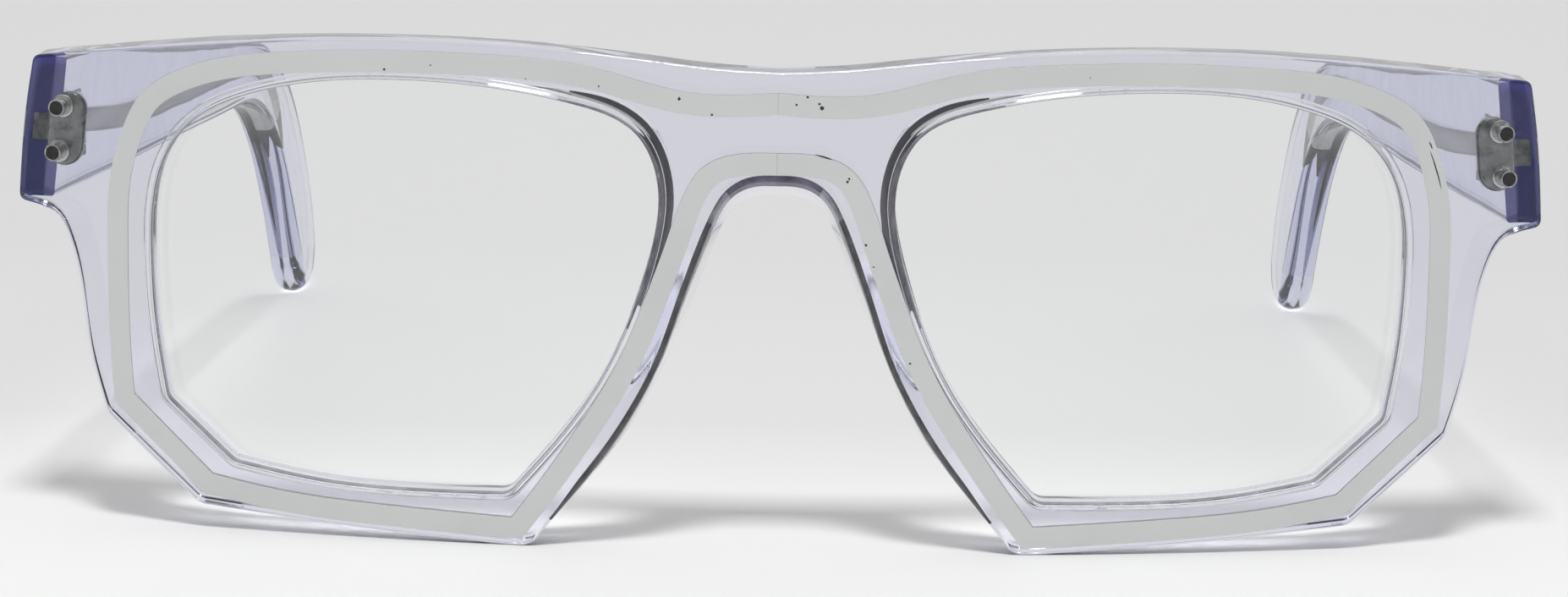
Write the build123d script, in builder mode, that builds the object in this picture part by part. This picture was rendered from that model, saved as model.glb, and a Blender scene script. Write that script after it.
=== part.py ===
from build123d import *
import os
from math import asin, cos, radians, sin, sqrt, tan

os.makedirs("parts", exist_ok=True)

# Square acetate eyeglasses, open, standing on their two lower tips and two temple tips.
# Millimetres, +Z up, the front faces -Y and the temples run back to +Y.
# Left and right are the wearer's, so left is +X. Left pieces are built, right ones mirrored.

# Front
half_width = 74.2
front_height = 48.7
front_thickness = 4.4
wrap_radius = 300.0
corner_round = 0.9
curve_length = 12.0
curve_steps = 12
overall_depth = 133.29
overrun = 6.0

# Lens and its groove
lens_thickness = 1.9
lens_depth = 1.2
groove_depth = 0.8
lens_corner_round = 1.8

# Inlay band, sunk flush in the front face in two halves
inlay_width = 2.05
inlay_depth = 1.0

# Nose pads, bonded behind the nose edge
pad_reach = 4.6
pad_round = 0.8

# Temple
temple_thickness = 4.2
temple_reach = 120.2
temple_drop = 2.8
temple_toe_in = 3.4
temple_round = 0.9
butt_gap = 0.15
butt_inset = 2.45

# Core wire
wire_height = 2.4
wire_thickness = 1.5
wire_bend_share = (0.666, 0.723)
wire_end_share = (0.824, 0.523)

# Hinge
hinge_inset = 5.2
hinge_drop = 10.3
plate_height = 7.3
plate_width = 3.7
plate_thickness = 0.9
barrel_diameter = 2.0
barrel_inset = 0.32
barrel_stand = 1.2
web_side = 0.7
knuckle_count = 5
knuckle_height = 1.04
knuckle_gap = 0.1
screw_diameter = 1.0
screw_running_gap = 0.04
screw_head_diameter = 1.7
screw_head_height = 0.5
screw_slot_width = 0.3
screw_slot_depth = 0.25
rivet_diameter = 1.5
rivet_bore = 0.9
rivet_length = 2.3
rivet_flange_diameter = 2.2
rivet_flange_height = 0.3
rivet_spacing = 4.4
rivet_outset = 0.55
leaf_length = 7.6
leaf_height = 6.6
leaf_setback = 0.5
foot_height = 2.6
foot_reach = 3.2
foot_setback = 0.8
foot_length = 4.8

# Worked out from the sizes above
apex_y = -overall_depth / 2
temple_top = front_height - temple_drop
butt_centre_x = half_width - butt_inset
hinge_x = half_width - hinge_inset
hinge_level = front_height - hinge_drop
wrap_centre_y = apex_y + wrap_radius
rear_radius = wrap_radius - front_thickness
wrap_drop = wrap_radius - sqrt(wrap_radius**2 - half_width**2)
blank_depth = wrap_drop + front_thickness + 2 * overrun
blank_height = front_height + 2 * overrun
barrel_radius = barrel_diameter / 2
screw_radius = screw_diameter / 2
rivet_radius = rivet_diameter / 2
knuckle_pitch = knuckle_height + knuckle_gap
barrel_height = knuckle_count * knuckle_pitch - knuckle_gap
barrel_bottom = hinge_level - barrel_height / 2

# Outlines of the front, as shares of its half width and height
top_edge_shares = [
    (0.0, 0.954),
    (0.081, 0.960),
    (0.162, 0.973),
    (0.270, 0.989),
    (0.404, 0.999),
    (0.566, 0.998),
    (0.728, 0.983),
    (0.964, 0.939),
]
endpiece_side_shares = [(0.964, 0.939), (0.984, 0.832), (1.0, 0.648)]
side_edge_shares = [
    (1.0, 0.648),
    (0.969, 0.640),
    (0.943, 0.622),
    (0.9265, 0.579),
    (0.9125, 0.493),
    (0.901, 0.355),
    (0.8785, 0.224),
]
lower_side_shares = [(0.8785, 0.224), (0.7545, 0.050)]
bottom_edge_shares = [(0.7545, 0.050), (0.647, 0.034), (0.512, 0.0165), (0.345, 0.0)]
nose_tip_front_shares = [(0.323, 0.0), (0.310, 0.008), (0.3005, 0.027)]
nose_front_shares = [
    (0.3005, 0.027),
    (0.255, 0.113),
    (0.210, 0.205),
    (0.170, 0.306),
    (0.143, 0.394),
    (0.120, 0.497),
    (0.097, 0.598),
    (0.080, 0.668),
    (0.060, 0.718),
    (0.034, 0.741),
    (0.0, 0.745),
]
nose_tip_rear_shares = [(0.323, 0.0), (0.307, 0.007), (0.296, 0.022)]
nose_rear_shares = [
    (0.296, 0.022),
    (0.251, 0.101),
    (0.204, 0.191),
    (0.163, 0.290),
    (0.136, 0.376),
    (0.112, 0.464),
    (0.089, 0.561),
    (0.071, 0.632),
    (0.055, 0.674),
    (0.032, 0.693),
    (0.0, 0.696),
]
nose_edge_directions = ((-0.46, 0.89), (-1, 0))
lens_round_shares = [
    (0.343, 0.103),
    (0.279, 0.218),
    (0.231, 0.322),
    (0.197, 0.425),
    (0.173, 0.528),
    (0.156, 0.628),
    (0.151, 0.698),
    (0.156, 0.756),
    (0.180, 0.826),
    (0.257, 0.881),
    (0.364, 0.910),
    (0.485, 0.920),
    (0.600, 0.909),
    (0.687, 0.878),
    (0.757, 0.822),
    (0.795, 0.745),
    (0.812, 0.640),
    (0.814, 0.545),
    (0.810, 0.421),
    (0.795, 0.264),
]
lens_bottom_shares = [(0.706, 0.141), (0.580, 0.110), (0.472, 0.102), (0.343, 0.103)]
inlay_round_shares = [
    (0.0, 0.914),
    (0.121, 0.913),
    (0.180, 0.934),
    (0.257, 0.962),
    (0.364, 0.975),
    (0.485, 0.978),
    (0.627, 0.968),
    (0.712, 0.952),
    (0.777, 0.921),
    (0.822, 0.877),
    (0.851, 0.799),
    (0.869, 0.698),
    (0.8735, 0.575),
    (0.8735, 0.411),
    (0.868, 0.248),
]
inlay_bottom_shares = [(0.749, 0.074), (0.647, 0.050), (0.512, 0.032), (0.322, 0.014)]
inlay_nose_shares = [
    (0.322, 0.014),
    (0.275, 0.104),
    (0.225, 0.212),
    (0.184, 0.314),
    (0.155, 0.407),
    (0.130, 0.511),
    (0.109, 0.606),
    (0.094, 0.688),
    (0.073, 0.740),
    (0.044, 0.756),
    (0.0, 0.758),
]

# Outline of a nose pad, where it meets the front and at its rear tip
pad_inner_shares = [(0.190, 0.222), (0.136, 0.376), (0.112, 0.464), (0.071, 0.632)]
pad_outer_shares = [(0.071, 0.632), (0.146, 0.560), (0.184, 0.400), (0.190, 0.222)]
pad_tip_inner_shares = [(0.182, 0.300), (0.150, 0.390), (0.130, 0.460), (0.103, 0.575)]
pad_tip_outer_shares = [(0.103, 0.575), (0.150, 0.530), (0.176, 0.420), (0.182, 0.300)]

# Outline of the temple, as shares of its reach and of its top's height
temple_top_shares = [
    (-0.03, 1.008),
    (0.17, 0.950),
    (0.34, 0.899),
    (0.50, 0.855),
    (0.64, 0.815),
    (0.745, 0.776),
    (0.83, 0.700),
    (0.90, 0.573),
    (0.955, 0.397),
    (0.988, 0.230),
    (1.0, 0.115),
]
temple_tip_shares = [(1.0, 0.115), (0.9538, 0.0), (0.915, 0.055)]
temple_inside_shares = [
    (0.915, 0.055),
    (0.893, 0.163),
    (0.857, 0.318),
    (0.815, 0.458),
    (0.765, 0.560),
    (0.700, 0.624),
    (0.60, 0.644),
    (0.43, 0.656),
    (0.20, 0.671),
    (-0.03, 0.690),
]


# Points of an outline at their real size
def on_front(shares):
    return [(across * half_width, up * front_height) for across, up in shares]


def on_temple(shares):
    return [(back * temple_reach, up * temple_top) for back, up in shares]


# The plane that faces the wearer's view, a depth behind the bridge's front
def depth_plane(depth):
    return Plane.XZ.offset(-(apex_y + depth))


# A plate cut to a flat outline and bent to the wrap, between two depths behind the face
def bent_plate(outline, near_depth, far_depth):
    with BuildPart() as plate:
        extrude(outline.sketch, amount=-blank_depth)
        with BuildSketch(Plane.XY.offset(-overrun)):
            with Locations((0, wrap_centre_y)):
                Circle(wrap_radius - near_depth)
                Circle(wrap_radius - far_depth, mode=Mode.SUBTRACT)
        extrude(amount=blank_height, mode=Mode.INTERSECT)
    return plate.part


# The hinge's place, flat on the rear face of the endpiece: x inboard, y up, z back
hinge_turn = asin(hinge_x / rear_radius)
hinge_face_y = wrap_centre_y - rear_radius * cos(hinge_turn)
hinge_plane = Plane(
    origin=(hinge_x, hinge_face_y, hinge_level),
    x_dir=(-cos(hinge_turn), -sin(hinge_turn), 0),
    z_dir=(-sin(hinge_turn), cos(hinge_turn), 0),
)
barrel_centre = hinge_plane.from_local_coords(Vector(barrel_inset, 0, barrel_stand))

# The temple's side: x back along the temple, y up, z outward
toe_in = radians(temple_toe_in)
butt_centre_y = hinge_face_y + (butt_centre_x - hinge_x) * tan(hinge_turn)
temple_plane = Plane(
    origin=(butt_centre_x, butt_centre_y, 0),
    x_dir=(-sin(toe_in), cos(toe_in), 0),
    z_dir=(cos(toe_in), sin(toe_in), 0),
)
inner_face_plane = temple_plane.offset(-temple_thickness / 2)
barrel_in_temple = inner_face_plane.to_local_coords(barrel_centre)


# Level planes through the hinge's axis: x runs to the plate, or outward to the temple
def front_barrel_plane(level):
    return Plane((barrel_centre.X, barrel_centre.Y, level), x_dir=-hinge_plane.z_dir)


def temple_barrel_plane(level):
    return Plane((barrel_centre.X, barrel_centre.Y, level), x_dir=temple_plane.z_dir)


def knuckle_level(index):
    return barrel_bottom + index * knuckle_pitch


# An outline moved out or in by a distance, its curves drawn again through points on them
def moved_outline(outline, distance):
    with BuildSketch() as rough:
        add(outline.sketch_local)
        offset(amount=distance, kind=Kind.INTERSECTION)
    with BuildSketch(depth_plane(-overrun)) as clean:
        with BuildLine():
            for edge in rough.edges():
                if edge.geom_type == GeomType.LINE:
                    Line(edge @ 0, edge @ 1)
                else:
                    parts = 1 + int(edge.length / curve_length)
                    for part in range(parts):
                        spots = [(part + step / curve_steps) / parts for step in range(curve_steps + 1)]
                        ends = (edge % spots[0], edge % spots[-1])
                        Spline([edge @ spot for spot in spots], tangents=ends)
        make_face()
    return clean


# Flat outlines of the front, a lens opening and the inlay band
with BuildSketch(depth_plane(-overrun)) as front_outline:
    with BuildLine():
        Spline(on_front(top_edge_shares))
        Spline(on_front(endpiece_side_shares))
        Spline(on_front(side_edge_shares))
        Line(on_front(lower_side_shares))
        Spline(on_front(bottom_edge_shares))
        Polyline(on_front([bottom_edge_shares[-1], (0, 0), top_edge_shares[0]]))
    make_face()
    fillet(front_outline.vertices().sort_by(Axis.X)[-4:], radius=corner_round)
    mirror(about=Plane.YZ)

with BuildSketch(depth_plane(-overrun)) as lens_opening:
    with BuildLine():
        Spline(on_front(lens_round_shares))
        Line(on_front([lens_round_shares[-1], lens_bottom_shares[0]]))
        Spline(on_front(lens_bottom_shares))
    make_face()
    fillet(lens_opening.vertices(), radius=lens_corner_round)

lens_outline = moved_outline(lens_opening, groove_depth)

with BuildSketch(depth_plane(-overrun)) as inlay_outer:
    with BuildLine():
        Spline(on_front(inlay_round_shares))
        Line(on_front([inlay_round_shares[-1], inlay_bottom_shares[0]]))
        Spline(on_front(inlay_bottom_shares))
        Spline(on_front(inlay_nose_shares))
        Line(on_front([inlay_nose_shares[-1], inlay_round_shares[0]]))
    make_face()
    mirror(about=Plane.YZ)

inlay_inner = moved_outline(inlay_outer, -inlay_width)
with BuildSketch(depth_plane(-overrun)) as inlay_outline:
    add(inlay_outer.sketch)
    add(inlay_inner.sketch, mode=Mode.SUBTRACT)


# The nose opening, wider at the front face than at the rear face
def nose_outline(plane, tip_shares, edge_shares):
    with BuildSketch(plane) as outline:
        with BuildLine():
            ThreePointArc(on_front(tip_shares))
            Spline(on_front(edge_shares), tangents=nose_edge_directions)
            foot_x, foot_z = on_front(tip_shares)[0]
            Polyline((foot_x, foot_z), (foot_x, -overrun), (0, -overrun))
            mirror(about=Plane.YZ)
        make_face()
    return outline.sketch


front_nose = nose_outline(depth_plane(0), nose_tip_front_shares, nose_front_shares)
rear_nose = nose_outline(depth_plane(front_thickness), nose_tip_rear_shares, nose_rear_shares)
with BuildPart() as nose_cut:
    loft([front_nose, rear_nose], ruled=True)
    extrude(front_nose, amount=overrun)
    extrude(rear_nose, amount=-overrun)

# The bent blanks
front_blank = bent_plate(front_outline, 0, front_thickness)
lens_blank = bent_plate(lens_outline, lens_depth, lens_depth + lens_thickness)
lens_hole = bent_plate(lens_opening, -overrun, front_thickness + overrun)
inlay_ring = bent_plate(inlay_outline, 0, inlay_depth)

# Lens, and the two halves of the inlay, which butt at the middle
with BuildPart() as lens:
    add(lens_blank)

with BuildPart() as inlay:
    add(inlay_ring)
    split(bisect_by=Plane.YZ, keep=Keep.TOP)

# Front leaf of the hinge: a stadium plate let into the endpiece, with every other knuckle
with BuildPart() as hinge_front:
    with BuildSketch(hinge_plane):
        SlotOverall(plate_height, plate_width, rotation=90)
    extrude(amount=-plate_thickness)
    for index in range(0, knuckle_count, 2):
        with BuildSketch(front_barrel_plane(knuckle_level(index))):
            Circle(barrel_radius)
            with Locations((barrel_stand / 2, 0)):
                Rectangle(barrel_stand, 2 * web_side)
        extrude(amount=knuckle_height)
    with BuildSketch(front_barrel_plane(barrel_bottom)):
        Circle(screw_radius)
    extrude(amount=barrel_height, mode=Mode.SUBTRACT)
    for side in (-1, 1):
        with BuildSketch(hinge_plane):
            with Locations((-rivet_outset, side * rivet_spacing / 2)):
                Circle(rivet_radius)
        extrude(amount=-plate_thickness, mode=Mode.SUBTRACT)

# Tubular rivets that anchor the plate in the acetate, open towards the front face
with BuildPart() as hinge_rivets:
    with BuildSketch(hinge_plane):
        with Locations((-rivet_outset, 0)):
            with GridLocations(0, rivet_spacing, 1, 2):
                Circle(rivet_radius)
    extrude(amount=-(plate_thickness + rivet_length))
    with BuildSketch(hinge_plane.offset(-plate_thickness)):
        with Locations((-rivet_outset, 0)):
            with GridLocations(0, rivet_spacing, 1, 2):
                Circle(rivet_flange_diameter / 2)
    extrude(amount=-rivet_flange_height)
rivet_pockets = hinge_rivets.part
with BuildPart() as hinge_rivets:
    add(rivet_pockets)
    with BuildSketch(hinge_plane):
        with Locations((-rivet_outset, 0)):
            with GridLocations(0, rivet_spacing, 1, 2):
                Circle(rivet_bore / 2)
    extrude(amount=-(plate_thickness + rivet_length), mode=Mode.SUBTRACT)

# Screw that is the hinge's pin, slotted, threaded into the lowest knuckle
with BuildPart() as hinge_screw:
    with BuildSketch(front_barrel_plane(barrel_bottom)):
        Circle(screw_radius)
    extrude(amount=barrel_height)
    with BuildSketch(front_barrel_plane(barrel_bottom + barrel_height)):
        Circle(screw_head_diameter / 2)
    extrude(amount=screw_head_height)
    chamfer(hinge_screw.edges().filter_by(GeomType.CIRCLE).sort_by(Axis.Z)[-1], screw_slot_depth / 2)
    with BuildSketch(front_barrel_plane(barrel_bottom + barrel_height + screw_head_height)):
        Rectangle(screw_head_diameter, screw_slot_width)
    extrude(amount=-screw_slot_depth, mode=Mode.SUBTRACT)

# Temple leaf of the hinge: plate in the temple's inner face, foot to the core wire
with BuildPart() as hinge_temple:
    with BuildSketch(inner_face_plane):
        with Locations((leaf_setback + leaf_length / 2, hinge_level)):
            Rectangle(leaf_length, leaf_height)
    extrude(amount=plate_thickness)
    with BuildSketch(inner_face_plane):
        with Locations((foot_setback + foot_length / 2, hinge_level)):
            Rectangle(foot_length, foot_height)
    extrude(amount=foot_reach)
    for index in range(1, knuckle_count, 2):
        with BuildSketch(temple_barrel_plane(knuckle_level(index))):
            Circle(barrel_radius)
            with Locations((-barrel_in_temple.Z / 2, web_side / 2)):
                Rectangle(-barrel_in_temple.Z, web_side)
        extrude(amount=knuckle_height)
    with BuildSketch(temple_barrel_plane(barrel_bottom)):
        Circle(screw_radius + screw_running_gap)
    extrude(amount=barrel_height, mode=Mode.SUBTRACT)

# Core wire: a flat strip along the temple and down into the hook
wire_start = (foot_setback + foot_length / 2, hinge_level)
with BuildPart() as core_wire:
    with BuildSketch(temple_plane):
        with BuildLine():
            wire_bend, wire_end = on_temple([wire_bend_share, wire_end_share])
            run = Line(wire_start, wire_bend)
            TangentArc(run @ 1, wire_end, tangent=run % 1)
        trace(line_width=wire_height)
    extrude(amount=wire_thickness / 2, both=True)
    add(hinge_temple.part, mode=Mode.SUBTRACT)

# Temple: side outline cut square to the endpiece, hollowed for the leaf and the wire
with BuildPart() as temple:
    with BuildSketch(temple_plane):
        with BuildLine():
            tip = ThreePointArc(on_temple(temple_tip_shares))
            top = [Vector(point) for point in on_temple(temple_top_shares)]
            inside = [Vector(point) for point in on_temple(temple_inside_shares)]
            Spline(top, tangents=(top[1] - top[0], tip % 0))
            Spline(inside, tangents=(tip % 1, inside[-1] - inside[-2]))
            Line(inside[-1], top[0])
        make_face()
    extrude(amount=temple_thickness / 2, both=True)
    split(bisect_by=hinge_plane.offset(butt_gap), keep=Keep.TOP)
    side_edges = temple.faces().filter_by(temple_plane).edges()
    fillet(side_edges.filter_by(Axis.Z, reverse=True), radius=temple_round)
    add(hinge_temple.part, mode=Mode.SUBTRACT)
    add(core_wire.part, mode=Mode.SUBTRACT)

# Nose pad, bonded to the rear face beside the nose opening
with BuildPart() as nose_pad:
    with BuildSketch(depth_plane(front_thickness - inlay_depth)):
        with BuildLine():
            Spline(on_front(pad_inner_shares))
            Spline(on_front(pad_outer_shares))
        make_face()
    with BuildSketch(depth_plane(front_thickness + pad_reach)):
        with BuildLine():
            Spline(on_front(pad_tip_inner_shares))
            Spline(on_front(pad_tip_outer_shares))
        make_face()
    loft()
    fillet(nose_pad.faces().sort_by(Axis.Y)[-1].edges(), radius=pad_round)
    with BuildSketch(Plane.XY):
        with Locations((0, wrap_centre_y)):
            Circle(wrap_radius)
            Circle(rear_radius, mode=Mode.SUBTRACT)
    extrude(amount=front_height, mode=Mode.SUBTRACT)

# Front: the bent plate less its nose, openings, grooves, inlay bed and hinge seats
with BuildPart() as front:
    add(front_blank)
    add(nose_cut.part, mode=Mode.SUBTRACT)
    add(inlay_ring, mode=Mode.SUBTRACT)
    for cutter in (lens_hole, lens.part, hinge_front.part, rivet_pockets):
        add(cutter, mode=Mode.SUBTRACT)
        add(mirror(cutter, about=Plane.YZ, mode=Mode.PRIVATE), mode=Mode.SUBTRACT)

front.part.label = "front"
export_step(front.part, "parts/front.step")

paired_pieces = {
    "inlay": inlay,
    "lens": lens,
    "nose_pad": nose_pad,
    "temple": temple,
    "core_wire": core_wire,
    "hinge_front_leaf": hinge_front,
    "hinge_temple_leaf": hinge_temple,
    "hinge_rivets": hinge_rivets,
    "hinge_screw": hinge_screw,
}
for name, left in paired_pieces.items():
    with BuildPart() as right:
        mirror(left.part, about=Plane.YZ)
    for side, piece in (("left", left), ("right", right)):
        piece.part.label = f"{name}_{side}"
        export_step(piece.part, f"parts/{name}_{side}.step")
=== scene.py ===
import math

import bmesh
import bpy
import numpy as np
from mathutils import Matrix, Vector
from mathutils.geometry import delaunay_2d_cdt


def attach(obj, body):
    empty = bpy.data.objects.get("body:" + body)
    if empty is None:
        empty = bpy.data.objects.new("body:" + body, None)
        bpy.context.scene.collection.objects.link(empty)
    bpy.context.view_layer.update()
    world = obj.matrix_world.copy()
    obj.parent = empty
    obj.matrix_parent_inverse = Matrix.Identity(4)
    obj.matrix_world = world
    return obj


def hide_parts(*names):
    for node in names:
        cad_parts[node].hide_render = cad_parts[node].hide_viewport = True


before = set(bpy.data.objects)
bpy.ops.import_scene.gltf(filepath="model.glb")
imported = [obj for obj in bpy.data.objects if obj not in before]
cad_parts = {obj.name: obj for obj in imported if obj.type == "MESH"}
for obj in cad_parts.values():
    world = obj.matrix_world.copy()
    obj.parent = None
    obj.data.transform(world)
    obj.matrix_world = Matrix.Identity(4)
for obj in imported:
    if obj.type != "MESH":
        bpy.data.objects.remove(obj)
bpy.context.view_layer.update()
mm = 0.001
sides = (("left", 1), ("right", -1))
print("frame loaded:", len(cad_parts), "nodes")

# The shared sizes of the front, in millimetres; outlines are shares of half width and height
front = {
    "halfWidth": 74.2,
    "height": 48.7,
    "thickness": 4.4,
    "wrapRadius": 300.0,
    "apexY": -133.29 / 2,
    "faceSink": 0.02,  # keeps the clear face just behind the inlay's
    "cornerRound": 0.9,
    "edgeRound": 0.32,
    "noseRound": 0.5,  # how much more the nose edge is rounded
    "bridgeRound": 0.26,  # and the lens openings beside the bridge
    "top": [
        (0.0, 0.954), (0.081, 0.960), (0.162, 0.973), (0.270, 0.989), (0.404, 0.999), (0.566, 0.998),
        (0.728, 0.983), (0.9705, 0.939),
    ],
    "endpiece": [(0.9705, 0.939), (0.983, 0.832), (0.995, 0.648)],
    "side": [
        (0.995, 0.648), (0.969, 0.640), (0.943, 0.622), (0.9265, 0.579), (0.9125, 0.493), (0.901, 0.355),
        (0.8785, 0.224),
    ],
    "chamfer": [(0.8785, 0.224), (0.7545, 0.050)],
    "bottom": [(0.7545, 0.050), (0.647, 0.034), (0.512, 0.0165), (0.345, 0.0)],
    "foot": [(0.345, 0.0), (0.323, 0.0)],
    "tipFront": [(0.323, 0.0), (0.310, 0.008), (0.3005, 0.027)],
    "tipRear": [(0.323, 0.0), (0.307, 0.007), (0.296, 0.022)],
    "noseFront": [
        (0.3005, 0.027), (0.255, 0.113), (0.210, 0.205), (0.170, 0.306), (0.143, 0.394), (0.120, 0.497),
        (0.097, 0.598), (0.080, 0.668), (0.060, 0.718), (0.034, 0.741), (0.0, 0.745),
    ],
    "noseRear": [
        (0.296, 0.022), (0.251, 0.101), (0.204, 0.191), (0.163, 0.290), (0.136, 0.376), (0.112, 0.464),
        (0.089, 0.561), (0.071, 0.632), (0.055, 0.674), (0.032, 0.693), (0.0, 0.696),
    ],
    "lensRound": [
        (0.343, 0.103), (0.279, 0.218), (0.231, 0.322), (0.197, 0.425), (0.173, 0.528), (0.156, 0.628),
        (0.151, 0.698), (0.156, 0.756), (0.180, 0.826), (0.257, 0.881), (0.364, 0.910), (0.485, 0.920),
        (0.600, 0.909), (0.687, 0.878), (0.757, 0.822), (0.795, 0.745), (0.812, 0.640), (0.814, 0.545),
        (0.810, 0.421), (0.795, 0.264),
    ],
    "lensChamfer": [(0.795, 0.264), (0.706, 0.141)],
    "lensBottom": [(0.706, 0.141), (0.580, 0.110), (0.472, 0.102), (0.343, 0.103)],
    "lensCornerRound": 1.8,
    "grooveDepth": 0.8,
    "lensNear": 1.2,
    "lensFar": 3.1,
    "padReach": 4.4,
    "padWidth": 4.4,
    "padLow": 0.18,
    "padHigh": 0.66,
    "padEase": 0.45,
}
centreY = front["apexY"] + front["wrapRadius"]

# The camera, fitted to the photograph; places in millimetres, turns in degrees
shot = {
    "from": (5.5, front["apexY"] - 338.2, 91.3),
    "yaw": -0.79,
    "pitch": -11.10,
    "roll": 0.92,
    "focalPixels": 4300,
    "widthPixels": 1854,
    "heightPixels": 706,
    "sensor": 36,
}
yaw, pitch, roll = (math.radians(shot[key]) for key in ("yaw", "pitch", "roll"))
sight = Vector((math.sin(yaw) * math.cos(pitch), math.cos(yaw) * math.cos(pitch), math.sin(pitch)))
level = Vector((math.cos(yaw), -math.sin(yaw), 0))
upright = level.cross(sight)
shotRight = level * math.cos(roll) + upright * math.sin(roll)
shotUp = upright * math.cos(roll) - level * math.sin(roll)
cameraData = bpy.data.cameras.new("camera")
cameraData.sensor_width = shot["sensor"]
cameraData.lens = shot["sensor"] * shot["focalPixels"] / shot["widthPixels"]
cameraData.clip_start, cameraData.clip_end = 0.01, 20
camera = bpy.data.objects.new("camera", cameraData)
bpy.context.scene.collection.objects.link(camera)
shotTurn = Matrix((shotRight, shotUp, -sight)).transposed().to_4x4()
camera.matrix_world = Matrix.Translation(Vector(shot["from"]) * mm) @ shotTurn
bpy.context.scene.camera = camera


def onFace(pixel):
    # the spot on the front face that a pixel of the photograph shows, in metres
    across, down = pixel[0] - shot["widthPixels"] / 2, pixel[1] - shot["heightPixels"] / 2
    ray = (sight * shot["focalPixels"] + shotRight * across - shotUp * down).normalized()
    start = Vector(shot["from"])
    square = ray.x**2 + ray.y**2
    half = start.x * ray.x + (start.y - centreY) * ray.y
    rest = start.x**2 + (start.y - centreY) ** 2 - front["wrapRadius"] ** 2
    return (start + ray * ((-half - math.sqrt(half * half - square * rest)) / square)) * mm


def feed(tree, node, feeds):
    # a node's inputs take sockets or fixed values
    for label, value in feeds.items():
        if isinstance(value, bpy.types.NodeSocket):
            tree.links.new(value, node.inputs[label])
        else:
            node.inputs[label].default_value = value


def put(tree, kind, feeds=None, output=0, **settings):
    # one new node; gives one of its outputs
    node = tree.nodes.new(kind)
    for key, value in settings.items():
        setattr(node, key, value)
    feed(tree, node, feeds or {})
    return node.outputs[output]


def sumOf(tree, first, second, operation="ADD"):
    return put(tree, "ShaderNodeMath", {0: first, 1: second}, operation=operation)


def splitOf(tree, place):
    return put(tree, "ShaderNodeSeparateXYZ", {"Vector": place}).node.outputs


def newMaterial(name):
    made = bpy.data.materials.new(name)
    made.use_nodes = True
    return made, made.node_tree, made.node_tree.nodes["Principled BSDF"]


def placeIn(tree):
    return put(tree, "ShaderNodeTexCoord", output="Object")


def noiseOn(tree, scale, detail=4, stretch=None):
    place = placeIn(tree)
    if stretch:
        place = put(tree, "ShaderNodeMapping", {"Vector": place, "Scale": stretch})
    return put(tree, "ShaderNodeTexNoise", {"Vector": place, "Scale": scale, "Detail": detail}, "Fac")


def ranged(tree, source, low, high):
    # a noise's middle stretch spread between two values
    spread = {"Value": source, "From Min": 0.3, "From Max": 0.7, "To Min": low, "To Max": high}
    return put(tree, "ShaderNodeMapRange", spread)


def rangedTo(tree, value, low, high, start=0.0, end=1.0):
    # the stretch of a value between two places, eased to another stretch
    spread = {"Value": value, "From Min": low, "From Max": high, "To Min": start, "To Max": end}
    return put(tree, "ShaderNodeMapRange", spread, interpolation_type="SMOOTHSTEP")


def mixedTone(tree, share, first, second):
    return put(tree, "ShaderNodeMix", {"Factor": share, "A": first, "B": second}, "Result", data_type="RGBA")


def blended(tree, source, low, high):
    # two colours, mixed by a noise
    return mixedTone(tree, ranged(tree, source, 0, 1), (*low, 1), (*high, 1))


def bumped(tree, source, strength, distance):
    return put(tree, "ShaderNodeBump", {"Height": source, "Strength": strength, "Distance": distance})


# Clear acetate: pale where it is thin, violet where the light runs far through it
acetateLook = {
    "ior": 1.49,
    "density": 60,
    "tint": (0.41, 0.43, 0.77, 1),
    "polish": 60,
    "haze": 0.025,
    "waves": 160,
    "ripple": 0.06,
    "rippleDepth": 0.0004,
    "streaks": 500,
    "streakStretch": (1, 0.15, 1),
}


def fillWithAcetate(tree, shader, transmission):
    feed(tree, shader, {"Transmission Weight": transmission, "IOR": acetateLook["ior"]})
    body = {"Color": acetateLook["tint"], "Density": acetateLook["density"]}
    absorb = put(tree, "ShaderNodeVolumeAbsorption", body)
    feed(tree, tree.nodes["Material Output"], {"Volume": absorb})


def makeAcetate():
    made, tree, shader = newMaterial("clearAcetate")
    polish, waves = noiseOn(tree, acetateLook["polish"], 3), noiseOn(tree, acetateLook["waves"], 2)
    feed(tree, shader, {
        "Base Color": (1, 1, 1, 1),
        "Roughness": ranged(tree, polish, 0.0, acetateLook["haze"]),
        "Normal": bumped(tree, waves, acetateLook["ripple"], acetateLook["rippleDepth"]),
    })
    fillWithAcetate(tree, shader, 1)
    return made


def makeShadedWall(name, low, high, haze, transmission):
    # an edge of the acetate with painted shade: its dark colour darkens what shows through it, in place of the
    # dark the edge shows; streaked by the polishing wheel
    made, tree, shader = newMaterial(name)
    streaks = noiseOn(tree, acetateLook["streaks"], 3, acetateLook["streakStretch"])
    tone, roughness = blended(tree, streaks, low, high), ranged(tree, streaks, 0.02, haze)
    feed(tree, shader, {"Base Color": tone, "Roughness": roughness})
    fillWithAcetate(tree, shader, transmission)
    return made


lensLook = {"tint": (0.985, 0.995, 0.99, 1), "ior": 1.5, "polish": 25, "haze": 0.012}


def makeLensClear():
    made, tree, shader = newMaterial("clearLensFace")
    feed(tree, shader, {
        "Base Color": lensLook["tint"],
        "Transmission Weight": 1,
        "IOR": lensLook["ior"],
        "Roughness": ranged(tree, noiseOn(tree, lensLook["polish"], 3), 0.0, lensLook["haze"]),
    })
    return made


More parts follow.
